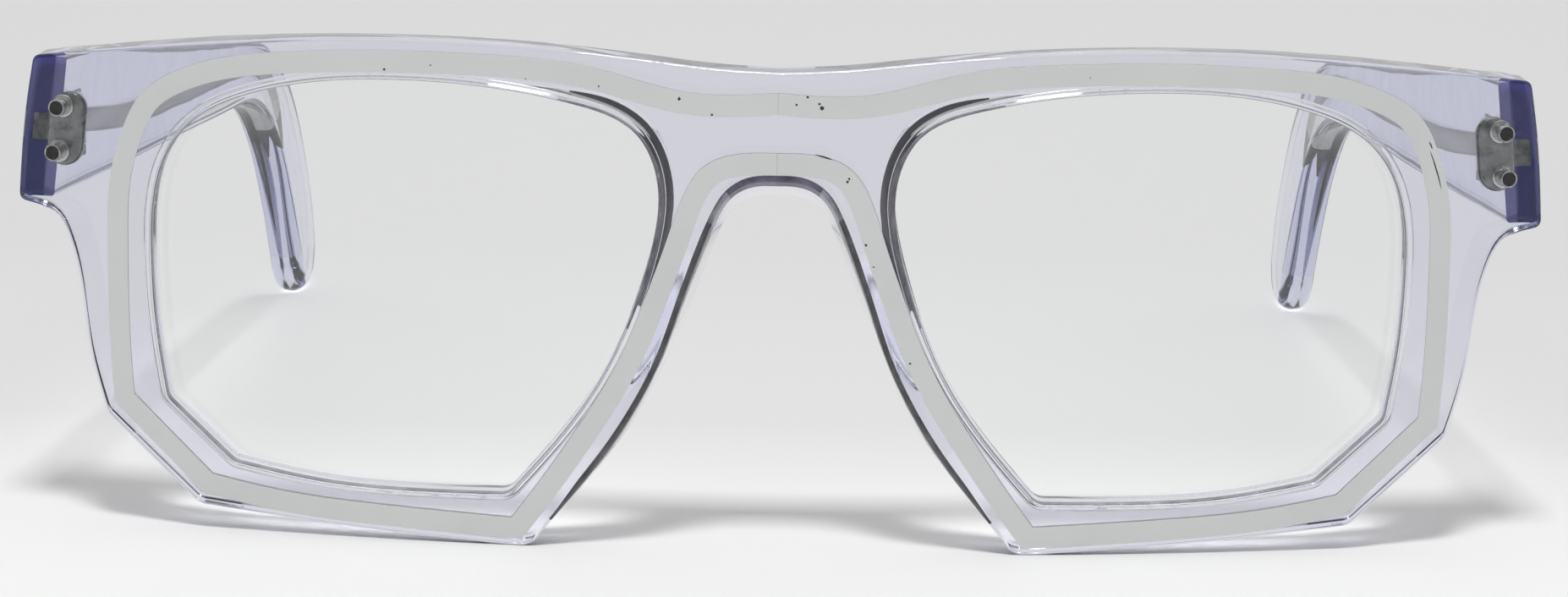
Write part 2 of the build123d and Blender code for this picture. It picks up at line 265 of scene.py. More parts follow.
# Frosted inlay, with the dark specks and grains of dust that lie in its glue: (pixel, millimetres)
inlayLook = {
    "low": (0.675, 0.695, 0.685),
    "high": (0.715, 0.735, 0.725),
    "cloud": 90,
    "roughness": 0.42,
    "grain": 2500,
    "grainDepth": 0.00005,
    "speckTone": (0.03, 0.03, 0.035, 1),
    "fraying": 6000,
    "fray": 0.05,
    "specks": [
        ((454, 82), 0.14), ((621, 94), 0.12), ((803, 117), 0.16), ((842, 136), 0.13), ((955, 115), 0.12),
        ((942, 124), 0.10), ((972, 128), 0.20), ((969, 123), 0.12), ((1002, 215), 0.14),
        ((1004, 212), 0.10), ((1024, 290), 0.12), ((1033, 316), 0.08), ((1112, 529), 0.12),
        ((1156, 589), 0.13), ((1076, 430), 0.09), ((708, 102), 0.08), ((509, 77), 0.08),
        ((1289, 92), 0.08),
    ],
}


def makeFrosted():
    made, tree, shader = newMaterial("frostedInlay")
    place, reach = placeIn(tree), inlayLook["fray"] * mm
    fray = ranged(tree, noiseOn(tree, inlayLook["fraying"], 2), -reach, reach)
    cover = 0.0
    for pixel, radius in inlayLook["specks"]:
        away = put(tree, "ShaderNodeVectorMath", {0: place, 1: onFace(pixel)}, "Value", operation="DISTANCE")
        near = sumOf(tree, sumOf(tree, away, fray), radius * mm, "LESS_THAN")
        cover = sumOf(tree, cover, near, "MAXIMUM")
    cloud = blended(tree, noiseOn(tree, inlayLook["cloud"], 2), inlayLook["low"], inlayLook["high"])
    feed(tree, shader, {
        "Base Color": mixedTone(tree, cover, cloud, inlayLook["speckTone"]),
        "Roughness": inlayLook["roughness"],
        "Normal": bumped(tree, noiseOn(tree, inlayLook["grain"], 3), 0.1, inlayLook["grainDepth"]),
    })
    return made


def makeMetal(name, low, high, scale, roughness, depth, stretch=None):
    made, tree, shader = newMaterial(name)
    grain = noiseOn(tree, scale, 6, stretch)
    feed(tree, shader, {
        "Metallic": 1,
        "Base Color": blended(tree, grain, low, high),
        "Roughness": ranged(tree, grain, *roughness),
        "Normal": bumped(tree, grain, 0.4, depth),
    })
    return made


darkLook = {"grain": 1500, "roughness": 0.85, "shine": 0.1}


def makeDark(name, low, high):
    made, tree, shader = newMaterial(name)
    tone = blended(tree, noiseOn(tree, darkLook["grain"], 3), low, high)
    matt = {"Roughness": darkLook["roughness"], "Specular IOR Level": darkLook["shine"]}
    feed(tree, shader, {"Base Color": tone, **matt})
    return made


# Painted light on the temple's butt: its colour stands in for the light that has run the whole length
# of the temple, deep violet blue, paler towards the inner face; places in millimetres
buttLightLook = {
    "low": (0.004, 0.018, 0.22, 1),
    "high": (0.052, 0.05, 0.27, 1),
    "pale": (0.20, 0.19, 0.50, 1),
    "turnsAt": (36.5, 40.5),
    "paleAt": (70.6, 70.9),
    "lean": 0.115,
    "grain": 400,
    "polish": (0.1, 0.3),
}


def makeButtLight():
    made, tree, shader = newMaterial("buttPaintedLight")
    split = splitOf(tree, placeIn(tree))
    aside = sumOf(tree, split["X"], 0.0, "ABSOLUTE")
    leaning = {0: split["Z"], 1: buttLightLook["lean"], 2: aside}
    leaning = put(tree, "ShaderNodeMath", leaning, operation="MULTIPLY_ADD")
    atLevel = buttLightLook["lean"] * sum(buttLightLook["turnsAt"]) / 2
    high = rangedTo(tree, split["Z"], *(place * mm for place in buttLightLook["turnsAt"]))
    deep = rangedTo(tree, leaning, *((place + atLevel) * mm for place in buttLightLook["paleAt"]))
    strong = mixedTone(tree, high, buttLightLook["low"], buttLightLook["high"])
    feed(tree, shader, {
        "Base Color": mixedTone(tree, deep, buttLightLook["pale"], strong),
        "Roughness": ranged(tree, noiseOn(tree, buttLightLook["grain"]), *buttLightLook["polish"]),
    })
    return made


acetate = makeAcetate()
# painted shade for the nose, rim and arch edges: dark colours stand in for the dark these edges show
noseWallShade = makeShadedWall("noseEdge", (0.045, 0.045, 0.048), (0.15, 0.15, 0.16), 0.3, 0.25)
rimWallShade = makeShadedWall("rimEdgeShade", (0.16, 0.16, 0.19), (0.46, 0.46, 0.52), 0.3, 0.5)
archWallShade = makeShadedWall("archEdgeShade", (0.03, 0.028, 0.05), (0.16, 0.15, 0.24), 0.3, 0.1)
butt = makeButtLight()
lensFace = makeLensClear()
frosted = makeFrosted()
nickel = makeMetal("wornNickel", (0.13, 0.14, 0.115), (0.46, 0.47, 0.42), 900, (0.2, 0.5), 0.00014)
brightNickel = makeMetal("rivetNickel", (0.55, 0.56, 0.50), (0.80, 0.80, 0.72), 1200, (0.18, 0.38), 0.00005)
wireTones = (0.38, 0.39, 0.36), (0.55, 0.56, 0.52)
drawnWire = makeMetal("drawnWire", *wireTones, 600, (0.3, 0.5), 0.00003, (1, 0.06, 1))
# painted shade: near-black stands in for the dark inside the rivets' hollow bores
boreShade = makeDark("borePaintedShade", (0.004, 0.004, 0.004), (0.02, 0.02, 0.018))
# one dark material for the dirt in the inlay's seams and for the painted shade on the core wires' ends
dirtAndShade = makeDark("seamDirtAndTipShade", (0.02, 0.02, 0.022), (0.08, 0.08, 0.085))
print("materials made")


def along(run):
    return np.concatenate([[0], np.cumsum(np.linalg.norm(np.diff(run, axis=0), axis=1))])


def smoothRun(points, count=160):
    # a cubic curve through given points, thinned to count points
    points = np.array(points, float)
    at = along(points)
    steps = np.linalg.norm(np.diff(points, axis=0), axis=1)
    last = len(points) - 1
    system = np.eye(last + 1)
    right = np.zeros_like(points)
    for i in range(1, last):
        system[i, i - 1 : i + 2] = steps[i - 1], 2 * (steps[i - 1] + steps[i]), steps[i]
        right[i] = 6 * ((points[i + 1] - points[i]) / steps[i] - (points[i] - points[i - 1]) / steps[i - 1])
    bend = np.linalg.solve(system, right)
    place = np.linspace(0, at[-1], count)
    span = np.clip(np.searchsorted(at, place, side="right") - 1, 0, last - 1)
    width = steps[span][:, None]
    after = (place - at[span])[:, None]
    before = width - after
    return (
        bend[span] * before**3 / (6 * width)
        + bend[span + 1] * after**3 / (6 * width)
        + (points[span] / width - bend[span] * width / 6) * before
        + (points[span + 1] / width - bend[span + 1] * width / 6) * after
    )


def thinned(run, start, end, count):
    # the part of a run between two lengths from its ends, in even steps
    at = along(run)
    place = np.linspace(start, at[-1] - end, count)
    return np.column_stack([np.interp(place, at, run[:, i]) for i in range(2)])


def joined(runs, radii, counts):
    # closed outline from runs, each joint rounded by its radius (0 leaves it)
    cuts, total = [], len(runs)
    for i in range(total):
        first, second = runs[i], runs[(i + 1) % total]
        arriving = first[-1] - first[-4]
        leaving = second[3] - second[0]
        turn = abs(math.atan2(arriving[0] * leaving[1] - arriving[1] * leaving[0], arriving @ leaving))
        cuts.append(radii[i] * math.tan(turn / 2) if radii[i] else 0)
    loop = []
    for i in range(total):
        part = thinned(runs[i], cuts[i - 1], cuts[i], counts[i])
        loop.append(part if cuts[i] else part[:-1])
        if cuts[i]:
            after = thinned(runs[(i + 1) % total], cuts[i], 0, 2)[0]
            corner, before = runs[i][-1], part[-1]
            share = np.linspace(0, 1, 9)[1:-1, None]
            loop.append(before * (1 - share) ** 2 + 2 * corner * share * (1 - share) + after * share**2)
    return np.vstack(loop)


def outward(loop, sign):
    # unit directions out of the solid, for a closed outline
    ahead = np.roll(loop, -1, axis=0) - loop
    ahead /= np.linalg.norm(ahead, axis=1)[:, None]
    chord = ahead + np.roll(ahead, 1, axis=0)
    chord /= np.linalg.norm(chord, axis=1)[:, None]
    area = 0.5 * np.sum(loop[:, 0] * np.roll(loop[:, 1], -1) - loop[:, 1] * np.roll(loop[:, 0], -1))
    turn = 1 if area > 0 else -1
    return sign * turn * np.column_stack([chord[:, 1], -chord[:, 0]])


def crossing(first, second):
    # where two runs meet: how much of the first stays, the point, where the second starts
    for i in range(len(first) - 1, 0, -1):
        p, r = first[i - 1], first[i] - first[i - 1]
        q, s = second[:-1], np.diff(second, axis=0)
        across = r[0] * s[:, 1] - r[1] * s[:, 0]
        across[np.abs(across) < 1e-12] = 1e-12
        t = ((q[:, 0] - p[0]) * s[:, 1] - (q[:, 1] - p[1]) * s[:, 0]) / across
        u = ((q[:, 0] - p[0]) * r[1] - (q[:, 1] - p[1]) * r[0]) / across
        hit = np.where((t >= 0) & (t <= 1) & (u >= 0) & (u <= 1))[0]
        if len(hit):
            return i, p + t[hit[0]] * r, hit[0] + 1
    return len(first), first[-1], 0


def insetRuns(runs, distance):
    # the runs of an outline moved inwards and cut off where neighbours cross
    moved = []
    for run in runs:
        ahead = np.gradient(run, axis=0)
        ahead /= np.linalg.norm(ahead, axis=1)[:, None]
        moved.append(run + distance * np.column_stack([ahead[:, 1], -ahead[:, 0]]))
    for i in range(len(moved) - 1):
        end, point, start = crossing(moved[i], moved[i + 1])
        moved[i] = np.vstack([moved[i][:end], point])
        moved[i + 1] = np.vstack([point, moved[i + 1][start:]])
    return moved


def roundedEdge(radius, steps=5):
    # rows of a rounded front edge and a rounded rear edge: (inset, side, offset, tilt)
    near = []
    for i in range(steps + 1):
        a = math.pi / 2 * i / steps
        near.append((radius * (1 - math.sin(a)), "near", radius * (1 - math.cos(a)), a))
    far = [(inset, "far", offset, math.pi - a) for inset, _, offset, a in reversed(near)]
    return near, far


def insideRims(points, outlines):
    # true for points inside the outer outline and outside its holes
    crossings = np.zeros(len(points), int)
    for outline in outlines:
        ahead = np.roll(outline, -1, axis=0)
        high = (outline[None, :, 1] > points[:, None, 1]) != (ahead[None, :, 1] > points[:, None, 1])
        rise = ahead[:, 1] - outline[:, 1]
        rise[np.abs(rise) < 1e-12] = 1e-12
        slope = ((ahead[:, 0] - outline[:, 0]) / rise)[None, :]
        reach = outline[None, :, 0] + (points[:, None, 1] - outline[None, :, 1]) * slope
        crossings += np.sum(high & (points[:, None, 0] < reach), axis=1)
    return crossings % 2 == 1


def freeSpots(outlines, pitch, zone=None):
    # a staggered grid of spots between the rims, clear of them
    rim = np.vstack(outlines)
    low, high = rim.min(axis=0), rim.max(axis=0)
    spots = []
    for row, up in enumerate(np.arange(low[1] + pitch / 2, high[1], pitch * 0.866)):
        across = np.arange(low[0] + pitch * (0.25 + 0.5 * (row % 2)), high[0], pitch)
        spots.append(np.column_stack([across, np.full(len(across), up)]))
    spots = np.vstack(spots)
    if zone is not None:
        spots = spots[zone(spots)]
    spots = spots[insideRims(spots, outlines)]
    gap = np.array([np.min(np.sum((rim - spot) ** 2, axis=1)) for spot in spots])
    return spots[gap > (0.55 * pitch) ** 2]


def slopeOf(far, x, z, step=0.02):
    # how the rear face leans at a spot
    left, right, low, high = far(np.array([x - step, x + step, x, x]), np.array([z, z, z - step, z + step]))
    return Vector((-(right - left) / (2 * step), 1, -(high - low) / (2 * step))).normalized()


def sweepLoop(shape, lean, loop, near, far):
    # an outline swept through rows of an edge profile; gives its first and last ring
    nearLoop, farLoop, rows, sign, swell, walls = loop
    nearOut, farOut = outward(nearLoop, sign), outward(farLoop, sign)
    whole = far(farLoop[:, 0], farLoop[:, 1]) - near
    flare = np.sum((farLoop - nearLoop) * nearOut, axis=1) / whole
    rings = []
    for inset, side, offset, tilt in rows:
        depth = near + offset * swell
        if side == "far":
            depth = far(farLoop[:, 0], farLoop[:, 1]) - offset * swell
        share = np.clip((depth - near) / whole, 0, 1)[:, None]
        out = nearOut * (1 - share) + farOut * share
        spot = nearLoop * (1 - share) + farLoop * share - out * (inset * swell)[:, None]
        if side == "far":
            depth = far(spot[:, 0], spot[:, 1]) - offset * swell
        wall = math.sin(tilt)
        ring = []
        for k in range(len(nearLoop)):
            v = shape.verts.new((spot[k, 0], depth[k], spot[k, 1]))
            facing = Vector((out[k, 0] * wall, -math.cos(tilt) - flare[k] * wall, out[k, 1] * wall))
            v[lean] = facing.normalized()
            ring.append(v)
        rings.append(ring)
    for step, (upper, lower) in enumerate(zip(rings, rings[1:])):
        for k in range(len(upper)):
            m = (k + 1) % len(upper)
            face = shape.faces.new((upper[k], upper[m], lower[m], lower[k]))
            for steps, finishes in walls:
                if step in steps:
                    face.material_index = int(finishes[k])
    return rings[0], rings[-1]


def fillFace(shape, lean, rims, far, near, rear, grids):
    # triangles between the rims, on the front face or on the rear one
    corners = [v for rim in rims for v in rim]
    outlines = [np.array([(v.co.x, v.co.z) for v in rim]) for rim in rims]
    edges, start = [], 0
    for outline in outlines:
        edges += [(start + k, start + (k + 1) % len(outline)) for k in range(len(outline))]
        start += len(outline)
    for pitch, zone in grids:
        for x, z in freeSpots(outlines, pitch, zone):
            corners.append(shape.verts.new((x, far(np.array([x]), np.array([z]))[0] if rear else near, z)))
    for v in corners:
        v[lean] = slopeOf(far, v.co.x, v.co.z) if rear else Vector((0, -1, 0))
    spots = [Vector((v.co.x, v.co.z)) for v in corners]
    flat, _, triangles, origins, _, _ = delaunay_2d_cdt(spots, edges, [], 0, 1e-6)
    middles = np.array([[sum(flat[i].x for i in t) / 3, sum(flat[i].y for i in t) / 3] for t in triangles])
    for triangle, inside in zip(triangles, insideRims(middles, outlines)):
        if inside and all(origins[i] for i in triangle):
            face = [corners[origins[i][0]] for i in triangle]
            if len(set(face)) == 3 and not shape.faces.get(face):
                shape.faces.new(face)


def buildPlate(name, loops, near, far, place, grids=((), ()), cutOff=None):
    # A plate between two faces. Flat space is (across, depth, up); place turns it into metres
    # with its normals. A loop is (front outline, rear outline, rows, sign, swell, walls), where
    # walls name steps of the rows and a finish for each point. Finish 1 is flat: the cut's face.
    shape = bmesh.new()
    lean = shape.verts.layers.float_vector.new("lean")
    rims = [sweepLoop(shape, lean, loop, near, far) for loop in loops]
    for rear in (0, 1):
        fillFace(shape, lean, [rim[rear] for rim in rims], far, near, rear, grids[rear])
    if cutOff:
        everything = shape.verts[:] + shape.edges[:] + shape.faces[:]
        spot, facing = cutOff
        bmesh.ops.bisect_plane(shape, geom=everything, plane_co=spot, plane_no=facing, clear_inner=True)
        rim = [e for e in shape.edges if e.is_boundary]
        for face in bmesh.ops.contextual_create(shape, geom=rim)["faces"]:
            face.material_index = 1
    bmesh.ops.recalc_face_normals(shape, faces=shape.faces[:])
    normals = []
    for v in shape.verts:
        v.co, normal = place(v.co.copy(), v[lean].copy())
        normals.append(normal.normalized())
    mesh = bpy.data.meshes.new(name)
    shape.verts.index_update()
    shape.to_mesh(mesh)
    shape.free()
    mesh.update()
    if sum(polygon.normal.dot(normals[polygon.vertices[0]]) for polygon in list(mesh.polygons)[::7]) < 0:
        mesh.flip_normals()
    corners = []
    for polygon in mesh.polygons:
        for index in polygon.vertices:
            corners.append(polygon.normal if polygon.material_index == 1 else normals[index])
        polygon.use_smooth = True
    mesh.normals_split_custom_set([tuple(n) for n in corners])
    piece = bpy.data.objects.new(name, mesh)
    bpy.context.scene.collection.objects.link(piece)
    return piece


def settle(piece, body, nodes):
    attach(piece, body)
    if nodes:
        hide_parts(*nodes)


def finish(piece, materials, body, slot, *nodes):
    for material in materials:
        piece.data.materials.append(material)
    settle(piece, body, nodes)


def plain(loop, rows):
    return loop, loop, rows, 1, np.ones(len(loop)), ()


def flatTo(depth):
    return lambda x, z: np.full(len(x), depth)


def mirrored(points):
    return np.column_stack([-points[::-1, 0], points[::-1, 1]])


def onFront(shares):
    return np.array(shares) * (front["halfWidth"], front["height"])


def curved(shares, count=160):
    return smoothRun(onFront(shares), count)


def straight(shares, count=40):
    return thinned(onFront(shares), 0, 0, count)


def eased(share):
    share = np.clip(share, 0, 1)
    return share * share * (3 - 2 * share)


def wholeOutline(tip, nose):
    half = [
        curved(front["top"]), curved(front["endpiece"]), curved(front["side"]), straight(front["chamfer"]),
        curved(front["bottom"]), straight(front["foot"]), curved(front[tip]), curved(front[nose]),
    ]
    corner = front["cornerRound"]
    radii = [corner, corner, corner * 2, corner * 2, 0, 0, 0, 0]
    counts = [90, 20, 40, 16, 50, 4, 9, 80]
    runs = half + [mirrored(run) for run in reversed(half)]
    return joined(runs, radii + radii[-2::-1] + [0], counts + counts[::-1])


frontLoop = wholeOutline("tipFront", "noseFront")
rearLoop = wholeOutline("tipRear", "noseRear")
lensRuns = [curved(front["lensRound"]), straight(front["lensChamfer"]), curved(front["lensBottom"])]
lensLoop = joined(lensRuns, [front["lensCornerRound"]] * 3, [190, 12, 40])
noseEdge = curved(front["noseRear"], 300)


def plateDepth(x, z):
    # rear face: the plate's thickness, with the nose pads rising out of it
    x, z = np.abs(np.asarray(x, float)), np.asarray(z, float)
    square = (x[:, None] - noseEdge[None, :, 0]) ** 2 + (z[:, None] - noseEdge[None, :, 1]) ** 2
    away = np.sqrt(np.min(square, axis=1))
    up = (z / front["height"] - front["padLow"]) / (front["padHigh"] - front["padLow"])
    rise = eased(1 - away / front["padWidth"]) * eased(up / front["padEase"])
    return front["thickness"] + front["padReach"] * rise * eased((1 - up) / front["padEase"])


def wrapped(spot, lean):
    # flat space to the wrap: the plate's faces are upright cylinders about one line
    x, depth, z = spot
    radius = front["wrapRadius"] - depth
    reach = math.sqrt(radius * radius - x * x)
    slope, stretch = x / reach, radius / reach
    turned = lean.y / stretch
    return Vector((x, centreY - reach, z)) * mm, Vector((lean.x - slope * turned, turned, lean.z))


# The plate's edges: the lens groove, and where the rounding grows and where painted shade darkens the walls.
# Pairs are (start, ease) as shares of the height or of half the width.
edging = {
    "play": 0.02,
    "lip": 0.02,
    "noseFrom": (0.03, 0.12),
    "archEases": (0.58, 0.12),
    "archEased": 0.4,
    "noseReach": 1.2,
    "noseFade": 0.4,
    "noseNear": 0.15,
    "wallDepth": 0.8,
    "shadeFrom": 0.06,
    "archFrom": 0.66,
    "archHalf": 4.2,
    "rimFrom": 0.002,
    "rimTo": 0.64,
    "bridgeAside": (0.33, 0.12),
    "bridgeFrom": (0.38, 0.2),
    "bridgeShade": 0.3,
    "padZone": (23, 6, 36),  # half width, low and high of the finely meshed part, in millimetres
}
# material slots of the front; the nose, rim and arch ones carry painted shade
clearFinish, noseShadeIndex, rimShadeIndex, archShadeIndex = 0, 2, 3, 4
nearRound, farRound = roundedEdge(front["edgeRound"])
lip, deep, sheer = edging["lip"], front["grooveDepth"], math.pi / 2
grooveNear, grooveFar = front["lensNear"] - edging["play"], front["lensFar"] + edging["play"]
groove = [(inset, "near", offset, tilt) for inset, offset, tilt in (
    (0, grooveNear - lip, sheer),
    (lip, grooveNear, math.pi),
    (deep - lip, grooveNear, math.pi),
    (deep, grooveNear + lip, sheer),
    (deep, grooveFar - lip, sheer),
    (deep - lip, grooveFar, 0),
    (lip, grooveFar, 0),
    (0, grooveFar + lip, sheer),
)]
lensRows = nearRound + groove + farRound
outerRows = nearRound + [(0, "near", edging["wallDepth"], sheer)] + farRound
noseFront = curved(front["noseFront"], 300)
besideNose = [np.min(np.hypot(abs(x) - noseFront[:, 0], z - noseFront[:, 1])) for x, z in frontLoop]
besideNose = np.array(besideNose)
noseRise = frontLoop[:, 1] / front["height"]


def easedFrom(value, key):
    return eased((value - edging[key][0]) / edging[key][1])


noseSwell = front["noseRound"] * easedFrom(noseRise, "noseFrom")
noseSwell *= 1 - edging["archEased"] * easedFrom(noseRise, "archEases")
frontSwell = 1 + noseSwell * eased(edging["noseReach"] - besideNose / edging["noseFade"]) / front["edgeRound"]
onNose = besideNose < edging["noseNear"]
aside = (noseRise < edging["rimTo"]) & (noseRise > edging["rimFrom"]) & ~onNose
archShadeTone = np.where(np.abs(frontLoop[:, 0]) < edging["archHalf"], archShadeIndex, rimShadeIndex)
noseShadeTone = np.where(noseRise > edging["archFrom"], archShadeTone, noseShadeIndex)
shadedNose = onNose & (noseRise > edging["shadeFrom"])
frontWalls = np.where(shadedNose, noseShadeTone, np.where(aside, rimShadeIndex, clearFinish))
noseOnly = np.where(shadedNose, noseShadeTone, clearFinish)
wallStep = len(nearRound) - 1
outerWalls = [((wallStep - 1, wallStep), frontWalls), (range(1, wallStep - 1), noseOnly)]
lensShares = lensLoop / (front["halfWidth"], front["height"])
byBridge = eased((edging["bridgeAside"][0] - lensShares[:, 0]) / edging["bridgeAside"][1])
byBridge = byBridge * easedFrom(lensShares[:, 1], "bridgeFrom")
plateLoops = [(frontLoop, rearLoop, outerRows, 1, frontSwell, outerWalls)]
for rim, share in ((lensLoop, byBridge), (mirrored(lensLoop), byBridge[::-1])):
    # the rim's walls beside the bridge get painted shade
    bridgeShading = np.where(share > edging["bridgeShade"], rimShadeIndex, clearFinish)
    rimWalls = [(range(wallStep - 2, wallStep + 1), np.full(len(rim), rimShadeIndex))]
    rimWalls.append((range(1, wallStep - 2), bridgeShading))
    swell = 1 + front["bridgeRound"] * share / front["edgeRound"]
    plateLoops.append((rim, rim, lensRows, -1, swell, rimWalls))


def byNose(spots):
    aside, low, high = edging["padZone"]
    return (np.abs(spots[:, 0]) < aside) & (spots[:, 1] > low) & (spots[:, 1] < high)


def offNose(spots):
    return ~byNose(spots)


coarse, fine = 2.4, 0.8
plateGrids = ([(coarse, None)], [(coarse, offNose), (fine, byNose)])
frontPiece = buildPlate("frontPlate", plateLoops, front["faceSink"], plateDepth, wrapped, plateGrids)
frontNodes = "front", "nose_pad_left", "nose_pad_right"
frontFinishes = acetate, acetate, noseWallShade, rimWallShade, archWallShade
finish(frontPiece, frontFinishes, "front_frame", "acetate", *frontNodes)
print("front plate built:", len(frontPiece.data.polygons), "faces")

lens = {"rimGap": 0.03, "rimRound": 0.12}
lensRim = lensLoop + outward(lensLoop, 1) * (front["grooveDepth"] - lens["rimGap"])
lensNearRound, lensFarRound = roundedEdge(lens["rimRound"], 3)
lensDepth, lensGrids = flatTo(front["lensFar"]), ([(coarse, None)],) * 2
for side, rim in (("left", lensRim), ("right", mirrored(lensRim))):
    loops = [plain(rim, lensNearRound + lensFarRound)]
    piece = buildPlate(f"clearLens_{side}", loops, front["lensNear"], lensDepth, wrapped, lensGrids)
    finish(piece, [lensFace], "front_frame", "lens", f"lens_{side}")
    piece.visible_shadow = False  # a clear lens lets the lamp's light through
print("lenses built")

# The inlay band in two halves that butt at the middle
inlay = {
    "width": 2.05,
    "depth": 1.0,
    "seam": 0.006,
    "edgeRound": 0.02,
    "corner": 0.25,
    "endCorner": 0.02,
    "round": [
        (0.0, 0.914), (0.121, 0.913), (0.180, 0.934), (0.257, 0.962), (0.364, 0.975), (0.485, 0.978),
        (0.627, 0.968), (0.712, 0.952), (0.777, 0.921), (0.822, 0.877), (0.851, 0.799), (0.869, 0.698),
        (0.8735, 0.575), (0.8735, 0.411), (0.868, 0.248),
    ],
    "chamfer": [(0.868, 0.248), (0.749, 0.074)],
    "bottom": [(0.749, 0.074), (0.647, 0.046), (0.512, 0.028), (0.322, 0.012)],
    "nose": [
        (0.324, 0.014), (0.281, 0.104), (0.233, 0.212), (0.192, 0.314), (0.162, 0.407), (0.136, 0.511),
        (0.114, 0.606), (0.096, 0.686), (0.074, 0.737), (0.044, 0.752), (0.0, 0.754),
    ],
}
outerRuns = [
    curved(inlay["round"], 260), straight(inlay["chamfer"], 60), curved(inlay["bottom"]),
    curved(inlay["nose"], 200),
]
innerRuns = insetRuns(outerRuns, inlay["width"])
for runs in (outerRuns, innerRuns):
    runs[0][0, 0] = runs[-1][-1, 0] = inlay["seam"]
acrossTop = thinned(np.array([innerRuns[0][0], outerRuns[0][0]]), 0, 0, 8)
acrossArch = thinned(np.array([outerRuns[-1][-1], innerRuns[-1][-1]]), 0, 0, 8)
bandRuns = outerRuns + [acrossArch] + [run[::-1] for run in reversed(innerRuns)] + [acrossTop]
bandRadii = ([inlay["corner"]] * 3 + [inlay["endCorner"]] * 2) * 2
bandLoop = joined(bandRuns, bandRadii, [150, 16, 44, 80, 5, 80, 44, 16, 150, 5])
bandNear, bandFar = roundedEdge(inlay["edgeRound"], 2)
for side, loop in (("left", bandLoop), ("right", mirrored(bandLoop))):
    loops = [plain(loop, bandNear + bandFar)]
    piece = buildPlate(f"inlayBand_{side}", loops, 0, flatTo(inlay["depth"]), wrapped)
    finish(piece, [frosted], "front_frame", "inlay", f"inlay_{side}")
print("inlay band built")

# The hinge's place, flat on the rear face of the endpiece
hinge = {
    "x": 69.0,
    "level": 38.4,
    "plateHeight": 7.3,
    "plateWidth": 3.7,
    "plateThickness": 0.9,
    "plateRound": 0.28,
    "proud": 0.03,
    "lean": 0.115,  # inward for each millimetre of height
    "shift": 0.25,
    "barrelRadius": 1.0,
    "barrelInset": 0.32,
    "barrelStand": 1.2,
    "bore": 0.54,
    "webSide": 0.7,
    "webSink": 0.05,
    "knuckleCount": 5,
    "knuckleHeight": 1.04,
    "knuckleGap": 0.1,
    "knuckleRound": 0.12,
}
rearRadius = front["wrapRadius"] - front["thickness"]
hingeTurn = math.asin(hinge["x"] / rearRadius)
hingeSpot = Vector((hinge["x"], centreY - rearRadius * math.cos(hingeTurn), hinge["level"]))
hingeIn = Vector((-math.cos(hingeTurn), -math.sin(hingeTurn), 0))
hingeBack = Vector((-math.sin(hingeTurn), math.cos(hingeTurn), 0))
barrelSpot = hingeSpot + hingeIn * hinge["barrelInset"] + hingeBack * hinge["barrelStand"]

# Temples: side outlines are shares of the reach and of the top's height
temple = {
    "thickness": 4.2,
    "reach": 120.2,
    "topHeight": 45.9,
    "toeIn": math.radians(3.4),
    "edgeRound": 0.9,
    "tipRound": 1.95,
    "tipFrom": (0.78, 0.17),
    "buttGap": 0.15,
    "buttRound": 0.35,
    "buttTo": (8, 45),
    "buttX": 71.75,
    "leanReach": 50,
    "filedReach": 14,
    "top": [
        (-0.03, 0.990), (0.08, 0.974), (0.17, 0.950), (0.34, 0.899), (0.50, 0.855), (0.64, 0.815),
        (0.745, 0.776), (0.83, 0.700), (0.90, 0.573), (0.955, 0.397), (0.988, 0.230), (1.0, 0.115),
    ],
    "tip": [(1.0, 0.115), (0.9866, 0.0355), (0.9538, 0.0), (0.928, 0.018), (0.915, 0.055)],
    "inside": [
        (0.915, 0.055), (0.893, 0.163), (0.857, 0.318), (0.815, 0.458), (0.765, 0.560), (0.700, 0.624),
        (0.60, 0.644), (0.43, 0.656), (0.20, 0.671), (-0.03, 0.690),
    ],
}
buttY = hingeSpot.y + (temple["buttX"] - hinge["x"]) * math.tan(hingeTurn)
templeOrigin = Vector((temple["buttX"], buttY, 0))
templeBack = Vector((-math.sin(temple["toeIn"]), math.cos(temple["toeIn"]), 0))
templeOut = Vector((math.cos(temple["toeIn"]), math.sin(temple["toeIn"]), 0))
halfTemple = temple["thickness"] / 2


def onTemple(shares, count=160):
    return smoothRun(np.array(shares) * (temple["reach"], temple["topHeight"]), count)


def besideTemple(sign):
    # flat space is (back, inward from the temple's middle, up); near its butt the temple leans in
    # at the top, as the hinge does, and its outer face is filed flush with the endpiece's edge
    edge = onFront(front["endpiece"])[::-1]

    def standing(spot, lean):
        shift = (spot.z - hinge["level"]) * hinge["lean"] * (1 - eased(spot.x / temple["leanReach"]))
        flush = np.interp(spot.z, edge[:, 1], edge[:, 0]) - temple["buttX"] + shift
        trim = min(0, flush - halfTemple) * (1 - eased(spot.x / temple["filedReach"])) / halfTemple
        inward = spot.y * (1 + trim if spot.y < 0 else 1) + shift
        at = templeOrigin + templeBack * spot.x - templeOut * inward
        turned = templeBack * lean.x - templeOut * lean.y
        return Vector((sign * at.x, at.y, spot.z)) * mm, Vector((sign * turned.x, turned.y, lean.z))
    return standing


def onHinge(sign):
    # flat space is (inward, back, up) from the hinge's place
    def seated(spot, lean):
        at = hingeSpot + hingeIn * (spot.x + hinge["shift"] + spot.z * hinge["lean"]) + hingeBack * spot.y
        turned = hingeIn * lean.x + hingeBack * lean.y
        return Vector((sign * at.x, at.y, at.z + spot.z)) * mm, Vector((sign * turned.x, turned.y, lean.z))
    return seated


